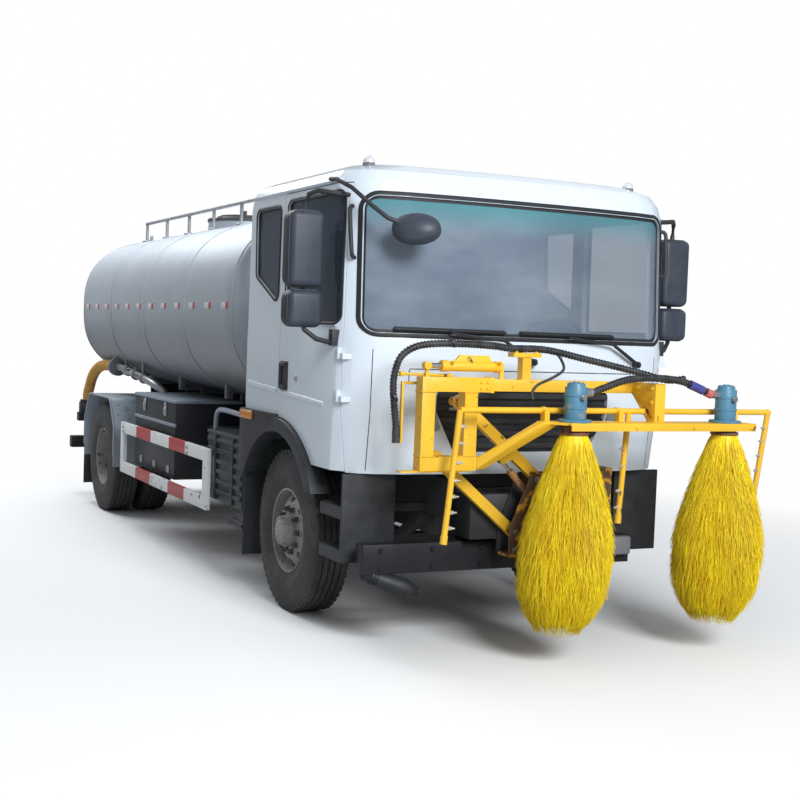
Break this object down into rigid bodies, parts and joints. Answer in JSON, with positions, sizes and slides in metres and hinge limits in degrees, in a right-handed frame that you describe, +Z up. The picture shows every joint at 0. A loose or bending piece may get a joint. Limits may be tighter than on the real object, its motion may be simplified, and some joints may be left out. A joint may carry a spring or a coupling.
{
  "type": "guardrail cleaning truck",
  "caption": "Flat-nosed two-axle water tank truck with a yellow swinging brush frame in front that carries upright rotating brushes for washing roadside guardrails.",
  "frame": {"origin": "on the road on the truck centre line, straight below the front axle", "axes": "+X forward, +Y the truck's left, +Z up"},
  "size_m": [8.165, 2.8569, 2.924],
  "materials": {
    "chassis_black": "satin chassis paint, dusty",
    "cast_grey": "rough cast surface, oily",
    "cab_white": "glossy cool white enamel",
    "cab_trim": "grained dark trim",
    "window_glass": "clear green-tinted safety glass",
    "seat_cloth": "woven dark seat cloth",
    "black_plastic": "moulded black plastic",
    "lamp_lens": "clear moulded lens",
    "bar_black": "black painted steel",
    "tank_grey": "silver-grey metallic paint",
    "rail_steel": "dull galvanised tube",
    "lid_grey": "dark grey paint",
    "fender_grey": "blue-grey paint, road dust",
    "guard_white": "white paint with red reflective blocks",
    "box_dark": "dark grey paint, dusty",
    "hose_ochre": "ribbed ochre hose",
    "tyre_rubber": "worn black rubber",
    "wheel_silver": "silver wheel paint, brake dust",
    "boom_yellow": "yellow enamel, chipped at edges",
    "rod_chrome": "hard chrome, dusty",
    "motor_blue": "blue enamel",
    "hose_black": "black hose with spiral wrap",
    "bristle_yellow": "bright yellow nylon bristles"
  },
  "bodies": {
    "truck": {"chassis_frame": "chassis_black", "engine_block": "cast_grey", "front_axle": "chassis_black", "rear_axle": "chassis_black", "springs": "chassis_black", "cab_floor": "cab_trim", "cab_back": "cab_white", "cab_sides": "cab_white", "cab_roof": "cab_white", "cab_front": "cab_white", "cab_glass": "window_glass", "dashboard": "cab_trim", "seats": "seat_cloth", "grille": "black_plastic", "lamps": "lamp_lens", "front_bar": "bar_black", "front_fenders": "black_plastic", "tank": "tank_grey", "top_rails": "rail_steel", "manhole_neck": "tank_grey", "rear_fenders": "fender_grey", "side_guards": "guard_white", "chassis_boxes": "box_dark", "suction_hose": "hose_ochre", "rear_bumper": "bar_black", "kerb_mirror": "black_plastic", "beacons": "lamp_lens", "boom_base": "boom_yellow"},
    "knuckle_left": {"knuckle_left": "cast_grey"},
    "knuckle_right": {"knuckle_right": "cast_grey"},
    "wheel_front_left": {"front_tyre_left": "tyre_rubber", "front_rim_left": "wheel_silver"},
    "wheel_front_right": {"front_tyre_right": "tyre_rubber", "front_rim_right": "wheel_silver"},
    "wheels_rear_left": {"rear_tyres_left": "tyre_rubber", "rear_rims_left": "wheel_silver"},
    "wheels_rear_right": {"rear_tyres_right": "tyre_rubber", "rear_rims_right": "wheel_silver"},
    "door_left": {"door_left": "cab_white", "door_glass_left": "window_glass", "mirror_left": "black_plastic"},
    "door_right": {"door_right": "cab_white", "door_glass_right": "window_glass", "mirror_right": "black_plastic"},
    "manhole_lid": {"manhole_lid": "lid_grey"},
    "link_upper": {"link_upper": "boom_yellow"},
    "link_lower": {"link_lower": "boom_yellow"},
    "boom_carriage": {"boom_carriage": "boom_yellow", "shift_rod": "rod_chrome"},
    "boom_head": {"boom_head": "boom_yellow", "shift_cylinder": "boom_yellow", "brush_motors": "motor_blue", "spray_pipes": "boom_yellow", "hydraulic_hoses": "hose_black"},
    "lift_barrel": {"lift_barrel": "boom_yellow"},
    "lift_rod": {"lift_rod": "rod_chrome"},
    "brush_left": {"brush_left": "bristle_yellow"},
    "brush_right": {"brush_right": "bristle_yellow"}
  },
  "joints": [
    {"name": "steer_left", "type": "hinge", "parent": "truck", "child": "knuckle_left", "pos_m": [0, 0.8, 0.52], "axis": [0, 0, 1], "range_deg": [-35, 35]},
    {"name": "steer_right", "type": "hinge", "parent": "truck", "child": "knuckle_right", "pos_m": [0, -0.8, 0.52], "axis": [0, 0, 1], "range_deg": [-35, 35]},
    {"name": "front_left_roll", "type": "hinge", "parent": "knuckle_left", "child": "wheel_front_left", "pos_m": [0, 0.95, 0.52], "axis": [0, 1, 0], "continuous": true},
    {"name": "front_right_roll", "type": "hinge", "parent": "knuckle_right", "child": "wheel_front_right", "pos_m": [0, -0.95, 0.52], "axis": [0, 1, 0], "continuous": true},
    {"name": "rear_left_roll", "type": "hinge", "parent": "truck", "child": "wheels_rear_left", "pos_m": [-4.7, 0.89, 0.52], "axis": [0, 1, 0], "continuous": true},
    {"name": "rear_right_roll", "type": "hinge", "parent": "truck", "child": "wheels_rear_right", "pos_m": [-4.7, -0.89, 0.52], "axis": [0, 1, 0], "continuous": true},
    {"name": "door_left_swing", "type": "hinge", "parent": "truck", "child": "door_left", "pos_m": [0.927, 1.14, 1.8], "axis": [0, 0, -1], "range_deg": [0, 70]},
    {"name": "door_right_swing", "type": "hinge", "parent": "truck", "child": "door_right", "pos_m": [0.927, -1.14, 1.8], "axis": [0, 0, 1], "range_deg": [0, 70]},
    {"name": "manhole_open", "type": "hinge", "parent": "truck", "child": "manhole_lid", "pos_m": [-4.49, 0, 2.816], "axis": [0, -1, 0], "range_deg": [0, 110]},
    {"name": "boom_swing", "type": "hinge", "parent": "truck", "child": "link_upper", "pos_m": [1.3745, -0.01, 0.965], "axis": [-1, 0, 0], "range_deg": [0, 55]},
    {"name": "lower_link_swing", "type": "hinge", "parent": "truck", "child": "link_lower", "pos_m": [1.315, -0.125, 0.645], "axis": [-1, 0, 0], "range_deg": [0, 55]},
    {"name": "carriage_level", "type": "hinge", "parent": "link_upper", "child": "boom_carriage", "pos_m": [1.3745, -0.58, 1.44], "axis": [-1, 0, 0], "range_deg": [-55, 0]},
    {"name": "head_slide", "type": "slide", "parent": "boom_carriage", "child": "boom_head", "axis": [0, 1, 0], "range_m": [0, 0.3]},
    {"name": "brush_left_spin", "type": "hinge", "parent": "boom_head", "child": "brush_left", "pos_m": [1.75, 0.995, 0.8], "axis": [0, 0, 1], "continuous": true},
    {"name": "brush_right_spin", "type": "hinge", "parent": "boom_head", "child": "brush_right", "pos_m": [1.75, -0.06, 0.8], "axis": [0, 0, 1], "continuous": true},
    {"name": "lift_barrel_tilt", "type": "hinge", "parent": "truck", "child": "lift_barrel", "pos_m": [1.3745, -0.095, 0.89], "axis": [-1, 0, 0], "range_deg": [0, 48.52]},
    {"name": "lift_rod_slide", "type": "slide", "parent": "lift_barrel", "child": "lift_rod", "axis": [0, -0.6761, 0.7368], "range_m": [0, 0.0964]}
  ],
  "couplings": [
    {"joint": "steer_right", "follows": "steer_left", "ratio": 1},
    {"joint": "lower_link_swing", "follows": "boom_swing", "ratio": 1},
    {"joint": "carriage_level", "follows": "boom_swing", "ratio": -1},
    {"joint": "lift_barrel_tilt", "follows": "boom_swing", "ratio": 0.8821},
    {"joint": "lift_rod_slide", "follows": "boom_swing", "m_per_rad": 0.10044}
  ]
}
